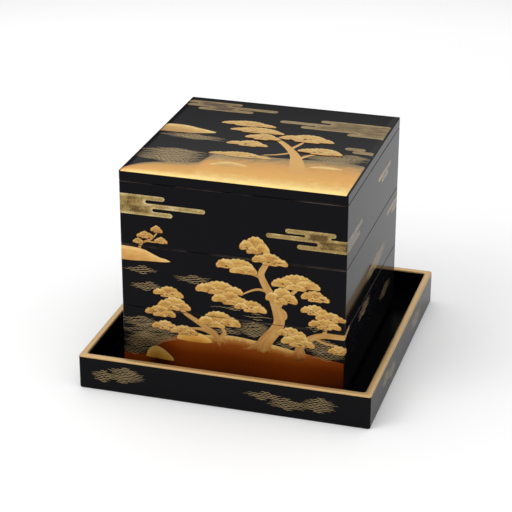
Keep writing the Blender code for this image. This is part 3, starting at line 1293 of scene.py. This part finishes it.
LEFT_PINE = dict(
    pads=(
        (-56.6, 85, 26.4, 9.8, -0.04), (-51.2, 74.4, 28, 11.4, 0), (-63.2, 66.4, 27, 10, -0.03),
        (-12.2, 64.6, 35, 15, 0.1), (-59, 53.6, 23.6, 8.4, 0), (-42.4, 51.4, 25, 8.6, 0.03),
    ),
    limbs=(
        ((-12, 48, 6.4), (-17, 54, 5.2), (-28, 61, 4.6), (-40, 68, 3.6), (-50, 76, 2.4)),
        ((-17, 53, 4), (-26, 55.5, 3), (-36, 55, 2), (-48, 53, 1.2)),
        ((-11, 48, 4.4), (-6.5, 55, 3.4), (-11, 63, 2.2)),
    ),
    roots=(
        ((-14, 52, 6), (-15.6, 47, 3.6), (-17.6, 42, 0.8)),
        ((-12, 52, 6), (-11, 46, 4.6), (-10, 40, 0.8)),
        ((-10, 51, 5), (-6.6, 47, 3), (-4.4, 43, 0.8)),
    ),
    grass=((-11, 41, 10),),
)
RIGHT_PINE = dict(
    pads=(
        (71.5, 85.8, 23.5, 9, -0.04), (85.4, 81, 25.6, 8, 0), (80.2, 74.4, 27, 9.2, -0.02),
        (51, 62.4, 24, 8.4, 0.02), (57.8, 55.2, 27.6, 11, -0.06), (92.6, 52, 19.6, 8, 0.06),
    ),
    limbs=(
        ((58, 46, 7), (60, 51, 6.2), (68, 60, 5.6), (79, 64.4, 5), (90, 65, 4.8),
         (99, 65.4, 4.4), (112, 69, 2.6)),
        ((79, 65, 3.4), (81, 71, 2.8), (76, 80, 1.8)),
        ((72, 61, 2.6), (82, 57.5, 2), (92, 57, 1.2)),
    ),
    roots=(
        ((59, 50, 6.6), (56, 45.6, 4), (52.6, 41, 0.8)),
        ((59, 50, 7), (59.4, 44, 5), (59.8, 37.6, 0.8)),
        ((60, 49, 6), (62.8, 44.6, 3.4), (64.6, 40, 0.8)),
    ),
    grass=((59, 39, 9),),
)
FAR_PINE = dict(
    pads=(
        (-65.3, 141.8, 9.8, 5.8, -0.1), (-75.8, 135.8, 14.2, 6, 0.1),
        (-81.6, 130, 9.6, 4.6, 0.05), (-61.4, 132.2, 11.4, 5.2, 0),
    ),
    limbs=(
        ((-81, 124, 2.6), (-78, 129, 2), (-70, 133.5, 1.6), (-65, 139, 1)),
        ((-74, 131, 1.5), (-67, 130.8, 1.2), (-61, 131.4, 0.8)),
    ),
)
BACK_PINE = dict(
    pads=(
        (398, 92, 30, 13, 0), (418, 80, 32, 12, -0.2), (382, 76, 30, 12, 0.15),
        (408, 64, 30, 11, -0.1), (430, 56, 26, 10, -0.2),
    ),
    limbs=(
        ((402, 26, 11), (406, 40, 8.5), (400, 54, 7), (394, 66, 5.4), (397, 80, 4), (399, 90, 2)),
        ((404, 44, 4), (414, 52, 3), (426, 54, 1.6)),
        ((396, 62, 3.4), (388, 70, 2.4), (382, 75, 1)),
        ((395, 68, 3.2), (406, 74, 2.4), (416, 78, 1)),
    ),
    roots=(
        ((400, 32, 7), (394, 27, 4), (386, 24, 1)), ((403, 30, 9), (403, 24, 5), (402, 18, 1)),
        ((405, 32, 6), (411, 27, 3), (418, 23, 0.8)),
    ),
    grass=((402, 24, 10),),
)
LID_PINE = dict(
    power=2.4, thin=0.78, ground=0.0,
    pads=(
        (-25.6, 37.4, 46, 16, 0), (-14.2, 22.4, 50, 16, 0), (-4, 7.6, 32, 17, 0),
        (-11.6, -10, 36, 16, 0.02), (33.4, 14.2, 46, 22, 0), (52.4, -13, 41, 18, -0.03),
        (-10, -37.6, 52, 14, 0),
    ),
    limbs=(
        ((44.5, -66, 3), (44, -60, 12), (42, -49, 12.5), (38, -37, 11), (32.4, -23, 8),
         (21.9, -6.9, 6), (11.6, 4.9, 4.6), (1.2, 11, 3.6), (-8, 20, 2.4)),
        ((30, -19, 3), (19, -27, 2.4), (8, -31, 1.2)), ((26, -11, 3.4), (30, 0, 3), (33, 9, 1.6)),
        ((37, -34, 4.4), (44, -23, 3.4), (51, -17, 2)),
    ),
)
TIER_MIST = (
    dict(
        bars=((-140, -57.7, 170), (-152, -22.7, 163), (-128, -51, 156)),
        fills=((-118, -74.5, 170, 163), (-112, -68.5, 163, 156)),
    ),
    # This bank's shade darkens it as painted shade, towards the side away from the light
    dict(
        bars=((45.8, 88.4, 155.3), (29.6, 150, 149.5), (55.9, 142, 142.3)),
        fills=((62.5, 84, 155.3, 149.5), (73, 132, 149.5, 142.3)), shade=0.62,
    ),
    dict(bars=((209, 257, 162), (222, 246, 157)), fills=((226, 240, 162, 157),)),
    dict(bars=((248, 318, 115), (268, 336, 109.5)), fills=((276, 306, 115, 109.5),)),
    dict(
        bars=((352, 420, 166), (338, 440, 160), (372, 412, 154)),
        fills=((362, 408, 166, 160), (382, 404, 160, 154)),
    ),
    dict(bars=((-262, -196, 152), (-246, -180, 146)), fills=((-232, -206, 152, 146),)),
)
TIER_WAVES = (
    (-80, 103.6, 31, 6.4), (-74, 88.9, 34, 7.4), (-34.2, 100.6, 38, 6.6), (4, 79, 40, 2.6),
    (21, 73.5, 30, 4.6), (20, 61.5, 34, 13.5), (-6, 56, 30, 6), (-82, 55, 40, 9),
    (-66, 46.5, 62, 15), (-80, 37, 36, 16), (-58, 38, 34, 12), (-86, 28, 26, 10),
    (78.8, 53.4, 40, 12), (82, 46, 34, 9), (48, 52, 20, 8), (72, 70, 18, 5), (210, 86, 84, 12),
    (166, 60, 50, 10), (-128, 82, 44, 12), (-168, 60, 62, 14), (-222, 92, 48, 8),
    (-262, 44, 40, 12), (-206, 34, 50, 10), (344, 82, 60, 10), (340, 50, 60, 14),
    (456, 44, 44, 12), (250, 40, 46, 10),
)
STAND_WAVES = (
    (-106, 13.5, 24, 10), (-86, 17, 36, 14), (36, 17, 34, 7), (58, 12, 36, 10),
    (84, 15.5, 32, 13), (186, 17, 36, 11), (210, 13, 34, 11), (310, 15, 50, 12),
    (420, 13, 34, 10), (442, 17, 34, 12), (-190, 17, 36, 12), (-214, 13, 34, 10),
    (-322, 14, 44, 11), (536, 15, 50, 12),
)
LID_WAVES = (
    (-65, -53.5, 62, 32), (-61, -6, 58, 11), (68, -25, 56, 14), (-24, -45, 30, 12),
    (80, -17, 36, 10), (10, -37, 30, 8),
)
LID_MIST = (
    dict(
        bars=((-96, -45, 83), (-95, -9.4, 75), (-82, -30.4, 67.2)),
        fills=((-86, -54, 83, 75), (-72, -46, 75, 67.2)), shade=0.9,
    ),
    dict(
        bars=((33.6, 104, 63), (-1.2, 104, 53), (20, 104, 44.6), (63.6, 104, 36.8)),
        fills=((44, 104, 63, 53), (32, 104, 53, 44.6), (72, 104, 44.6, 36.8)),
    ),
    dict(bars=((70, 88, 3.2), (78, 104, -3.2)), shade=0.5),
)
HILL = (
    (-236, 112.5, 111.4), (-214, 117, 111.4), (-188, 125, 111.4), (-160, 133, 111.4),
    (-138, 131, 111.4), (-116, 126, 111.4), (-97.5, 124.6, 111.6), (-86, 124.2, 111.8),
    (-76.5, 122.8, 112.6), (-68, 119.4, 113), (-62.5, 117.2, 113.2), (-58, 116.4, 113.6),
    (-53.6, 114.8, 114.4),
)
FAR_HILL = (
    (318, 105.5, 105), (344, 110, 105), (372, 119, 105), (396, 117, 105), (430, 109, 105),
    (452, 105.5, 105),
)
ROCK = (
    (-77, 23.4, 23), (-75.6, 28, 22.6), (-72, 32.4, 22.2), (-67, 33.8, 22), (-61.5, 32, 21.8),
    (-56.5, 28.2, 21.6), (-53, 24.8, 21.6), (-52, 22.4, 21.8),
)
BUSH = (
    (-49, 44.8, 44), (-47.6, 47.4, 43.2), (-42, 50.6, 42.8), (-34, 52, 42.6), (-26, 50.8, 42.8),
    (-21.4, 48.4, 43.3), (-18.4, 46.4, 43.9), (-17.6, 45.2, 44.9),
)
LID_HILL = (
    (-104, 18.4, 2), (-90, 20, 1.6), (-81, 20.2, 1.6), (-72, 18.6, 2), (-65.6, 16.2, 2.6),
    (-57, 13.6, 4.6), (-47, 10, 8),
)
# Darker downwards: partly gold fading into the lacquer, partly painted shade near the stand
SHORE = (
    (-292, 24, 12, 14), (-262, 27, 12, 14), (-230, 22, 12, 16), (-200, 27, 12, 14),
    (-165, 25, 12, 16), (-130, 21, 12, 20), (-97.5, 24, 12, 24), (-80, 24.5, 12, 24),
    (-72, 30, 12, 30), (-64, 39, 12, 28), (-58, 42.6, 12, 20), (-52, 44.8, 12, 11),
    (-46, 46.4, 12, 5), (-38, 48.4, 12, 1), (-20, 51, 12, 0), (-3.3, 53, 12, 0), (8, 52.8, 12, 0),
    (17.7, 51.8, 12, 0), (38.5, 49.6, 12, 0), (54, 47, 12, 1), (66, 45.4, 12, 5),
    (80, 43.6, 12, 11), (97.2, 41.3, 12, 18),
)
BACK_SHORE = (
    (330, 12.5, 12, 20), (352, 20, 12, 8), (384, 27, 12, 0), (420, 29, 12, 0), (456, 26, 12, 8),
    (484, 23, 12, 16),
)
LID_SHORE = (
    (-97, -90), (-90, -82), (-83, -76), (-68, -70), (-52, -67), (-42, -64), (-38, -58),
    (-35.5, -48), (-31, -42), (-20, -39.5), (-9.4, -40), (6.7, -37.8), (22.8, -34.6),
    (39.4, -33.2), (55.7, -30.9), (72.4, -30), (86, -31), (97, -33),
)
LID_DUNES = (
    ((-30, -64, -65), (-22, -57, -66), (-14, -54.6, -66), (-4, -57, -63), (2, -60, -61)),
    ((52, -47.4, -48), (60, -43.6, -48.6), (70, -43, -48), (80, -45.6, -46.6)),
)


# Studio

SKY = (
    (0.0, 0.03), (0.17, 0.05), (0.3, 0.13), (0.327, 0.25), (0.345, 0.52), (0.358, 0.7),
    (0.39, 0.85), (0.411, 1.15), (0.45, 1.25), (0.6, 0.9), (1.0, 1.25),
)
BACKDROP = 0.88
WHITE = (1, 1, 1, 1)
SENSOR_WIDTH = 36.0

# The floor's rings and the points of one, and the share of its radius where it starts to fade
FLOOR_RINGS = 24
FLOOR_POINTS = 64
FADE_START = 0.75


def light_world(world):
    """A soft overhead sky that is dark near the horizon, before a plain pale backdrop.

    The radiance rises with the sine of the height above the horizon.
    """
    world.use_nodes = True
    tree = world.node_tree
    tree.nodes.clear()
    place = add_node(tree, "ShaderNodeTexCoord").outputs["Generated"]
    height = add_node(tree, "ShaderNodeSeparateXYZ", {"Vector": place}).outputs["Z"]
    ramp = add_node(tree, "ShaderNodeFloatCurve", {"Value": height})
    curve = ramp.mapping.curves[0]
    strongest = SKY[-1][1]
    for point, (sine, value) in zip(curve.points, (SKY[0], SKY[-1])):
        point.location = (sine, value / strongest)
    for sine, value in SKY[1:-1]:
        curve.points.new(sine, value / strongest)
    for point in curve.points:
        point.handle_type = "VECTOR"
    ramp.mapping.update()
    sky = math_node(tree, "MULTIPLY", ramp.outputs["Value"], strongest)
    glow, pale = (
        add_node(tree, "ShaderNodeBackground", {"Color": WHITE, "Strength": strength}).outputs[0]
        for strength in (sky, BACKDROP)
    )
    seen = add_node(tree, "ShaderNodeLightPath").outputs["Is Camera Ray"]
    mix = add_node(tree, "ShaderNodeMixShader", {"Fac": seen, 1: glow, 2: pale})
    add_node(tree, "ShaderNodeOutputWorld", {"Surface": mix.outputs[0]})


def lay_floor(studio):
    """A pale round floor that fades out at its rim: rings of points about the origin."""
    radius = np.linspace(0.01, 1, FLOOR_RINGS)[:, None] * studio.floor_radius
    angle = np.linspace(0, 2 * math.pi, FLOOR_POINTS, endpoint=False)[None, :]
    x, y = radius * np.cos(angle), radius * np.sin(angle)
    points = np.stack([x, y, np.zeros_like(x)], axis=-1)
    index = numbered(points)
    mesh, _ = fill_mesh("studio_floor", points.reshape(-1, 3), [quads(closed(index)), index[:1]])
    sockets = {"Base Color": (0.96, 0.96, 0.96, 1), "Roughness": 0.9, "Specular IOR Level": 0.0}
    material, tree, shader = new_material("pale_floor", sockets)
    place = add_node(tree, "ShaderNodeTexCoord").outputs["Object"]
    reach = add_node(tree, "ShaderNodeVectorMath", {0: place}, operation="LENGTH").outputs["Value"]
    rim = studio.floor_radius
    fade = remap(tree, reach, FADE_START * rim, rim, 1.0, 0.0, interpolation_type="SMOOTHSTEP")
    tree.links.new(fade, shader.inputs["Alpha"])
    mesh.materials.append(material)
    new_object("studio_floor", mesh)


def place_camera(studio):
    """The camera at the photograph's angle."""
    camera = new_object("studio_camera", bpy.data.cameras.new("studio_camera"))
    camera.data.lens = studio.lens
    camera.data.sensor_width = SENSOR_WIDTH
    view = (Vector(studio.target) - Vector(studio.camera)).to_track_quat("-Z", "Y")
    turn = view.to_matrix().to_4x4() @ Matrix.Rotation(studio.roll, 4, "Z")
    camera.matrix_world = Matrix.Translation(studio.camera) @ turn
    bpy.context.scene.camera = camera


def hang_light(studio):
    """A soft square light that looks at the box and stays out of its reflections."""
    light = bpy.data.lights.new("soft_light", "AREA")
    light.size = studio.lamp_size
    light.energy = studio.lamp_power
    lamp = new_object("soft_light", light)
    lamp.location = studio.lamp
    lamp.rotation_euler = (-Vector(studio.lamp)).to_track_quat("-Z", "Y").to_euler()
    lamp.visible_glossy = False


# Operators

# Seeds of the random draws, and the thickness of a bar of mist
TIER_SEED = 7
LID_SEED = 11
STAND_SEED = 5
TIER_BAR = 4 * MM
LID_BAR = 6.2 * MM


class FOODBOX_OT_studio(Operator):
    """Adds the camera, the pale floor and the soft light"""

    bl_idname = "foodbox.studio"
    bl_label = "Studio"

    def execute(self, context):
        studio = context.scene.food_box.studio
        scene = context.scene
        scene.view_settings.view_transform = "Standard"
        if scene.world is None:
            scene.world = bpy.data.worlds.new("studio")
        light_world(scene.world)
        lay_floor(studio)
        place_camera(studio)
        hang_light(studio)
        return {"FINISHED"}


class FOODBOX_OT_tiers(Operator):
    """Adds the three lacquered tiers"""

    bl_idname = "foodbox.tiers"
    bl_label = "Tiers"

    def execute(self, context):
        settings = context.scene.food_box
        lacquer = box_lacquer(settings.finishes)
        for node in TIERS:
            low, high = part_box(node)
            rings = tier_rings(settings.box, low.z + settings.box.foot, high.z)
            piece = add_object(shell(node + "_shell", rings, wear_and_highlight=1.0), lacquer)
            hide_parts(node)
        return {"FINISHED"}


class FOODBOX_OT_lid(Operator):
    """Adds the lacquered lid"""

    bl_idname = "foodbox.lid"
    bl_label = "Lid"

    def execute(self, context):
        settings = context.scene.food_box
        low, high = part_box("lid")
        rings = lid_rings(settings.box, low.z + settings.box.tongue, high.z)
        lacquer = box_lacquer(settings.finishes)
        piece = add_object(shell("lid_shell", rings, wear_and_highlight=0.2), lacquer)
        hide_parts("lid")
        return {"FINISHED"}


class FOODBOX_OT_stand(Operator):
    """Adds the lacquered stand and the gold on its rim"""

    bl_idname = "foodbox.stand"
    bl_label = "Stand"

    def execute(self, context):
        settings = context.scene.food_box
        stand, finishes = settings.stand, settings.finishes
        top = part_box("stand_tray")[1].z
        outside = black_lacquer(
            "stand_black", finishes, finishes.stand, finishes.stand_refraction, finishes.gloss
        )
        # The well gets a darker, duller copy of the black lacquer as painted shade
        inside = black_lacquer(
            "well_shade_black", finishes, finishes.inside, finishes.well_shade_refraction, finishes.well_shade_gloss
        )
        mesh = shell("stand_shell", stand_rings(stand, top), wear_and_highlight=0.0)
        piece = add_object(mesh, outside)
        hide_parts("stand_tray")
        mesh.materials.append(inside)
        well = stand.width / 2 - stand.wall + WELL_PLAY
        for face in mesh.polygons:
            within = max(abs(face.center.x), abs(face.center.y)) < well
            face.material_index = int(within and face.center.z > stand.floor - WELL_PLAY)
        rim = finishes.rim
        tones = ((0.0, [0.8 * part for part in rim]), (0.5, rim), (1.0, rim))
        leaf = powdered("rim_gold", tones, metal=0.6, rough=0.4, mottle=0.3)
        add_object(rim_mesh("stand_rim_gold", stand, top), leaf)
        return {"FINISHED"}


class FOODBOX_OT_tier_picture(Operator):
    """Adds the gold picture on the sides of the tiers"""

    bl_idname = "foodbox.tier_picture"
    bl_label = "Tier picture"

    def execute(self, context):
        box = context.scene.food_box.box
        rng = np.random.default_rng(TIER_SEED)
        films = new_films()
        mound(films["shore"], mm(*SHORE), SHORE_LEVEL, columns=240, lines=16)
        mound(films["shore"], mm(*BACK_SHORE), SHORE_LEVEL, columns=80, lines=16)
        for rows in (HILL, FAR_HILL):
            mound(films["hill"], mm(*rows), HILL_LEVEL)
        for rows in (ROCK, BUSH):
            mound(films["moss"], mm(*rows), HILL_LEVEL)
        for row in TIER_WAVES:
            waves(films["wave"], *mm(*row), rng, pitch=1.2 * MM, thick=0.4 * MM, slope=0.05)
        for bank in TIER_MIST:
            mist(films["mist"], bank, TIER_BAR)
        for tree in (GREAT_PINE, LEFT_PINE, RIGHT_PINE, FAR_PINE, BACK_PINE):
            add_tree(films, tree, rng)
        for name, film in films.items():
            lay_on_tiers(name, film, box, gold(name))
        return {"FINISHED"}


class FOODBOX_OT_lid_picture(Operator):
    """Adds the gold picture on top of the lid"""

    bl_idname = "foodbox.lid_picture"
    bl_label = "Lid picture"

    def execute(self, context):
        box = context.scene.food_box.box
        rng = np.random.default_rng(LID_SEED)
        films = new_films()
        lid_shore(films["shore"], mm(*LID_SHORE), box)
        for rows in (LID_HILL, *LID_DUNES):
            mound(films["hill"], mm(*rows), HILL_LEVEL)
        for row in LID_WAVES:
            waves(films["wave"], *mm(*row), rng, thick=0.78 * MM, fullness=4)
        for bank in LID_MIST:
            mist(films["mist"], bank, LID_BAR)
        add_tree(films, LID_PINE, rng)
        for name, film in films.items():
            finish = f"lid_{name}" if f"lid_{name}" in GOLDS else name
            lay_on_lid(f"lid_{name}", film, box, gold(finish))
        return {"FINISHED"}


class FOODBOX_OT_stand_picture(Operator):
    """Adds the gold ripples on the sides of the stand"""

    bl_idname = "foodbox.stand_picture"
    bl_label = "Stand picture"

    def execute(self, context):
        rng = np.random.default_rng(STAND_SEED)
        film = Film()
        for row in STAND_WAVES:
            waves(film, *mm(*row), rng)
        lay_on_stand("stand_wave", film, context.scene.food_box.stand, gold("wave"))
        return {"FINISHED"}


OPERATORS = (
    FOODBOX_OT_studio, FOODBOX_OT_stand, FOODBOX_OT_tiers, FOODBOX_OT_lid,
    FOODBOX_OT_tier_picture, FOODBOX_OT_lid_picture, FOODBOX_OT_stand_picture,
)


class FOODBOX_PT_panel(Panel):
    """Lists the steps that dress the food box."""

    bl_idname = "FOODBOX_PT_panel"
    bl_label = "Food Box"
    bl_space_type = "VIEW_3D"
    bl_region_type = "UI"
    bl_category = "Food Box"

    def draw(self, context):
        for operator in OPERATORS:
            self.layout.operator(operator.bl_idname, text=operator.bl_label)


CLASSES = (BoxForm, StandForm, Finishes, Studio, FoodBoxSettings, *OPERATORS, FOODBOX_PT_panel)


def register():
    for item in CLASSES:
        bpy.utils.register_class(item)
    bpy.types.Scene.food_box = PointerProperty(type=FoodBoxSettings)


def unregister():
    del bpy.types.Scene.food_box
    for item in reversed(CLASSES):
        bpy.utils.unregister_class(item)


def main():
    """Dresses the box step by step."""
    register()
    for operator in OPERATORS:
        group, name = operator.bl_idname.split(".")
        getattr(getattr(bpy.ops, group), name)()


if __name__ == "__main__":
    main()
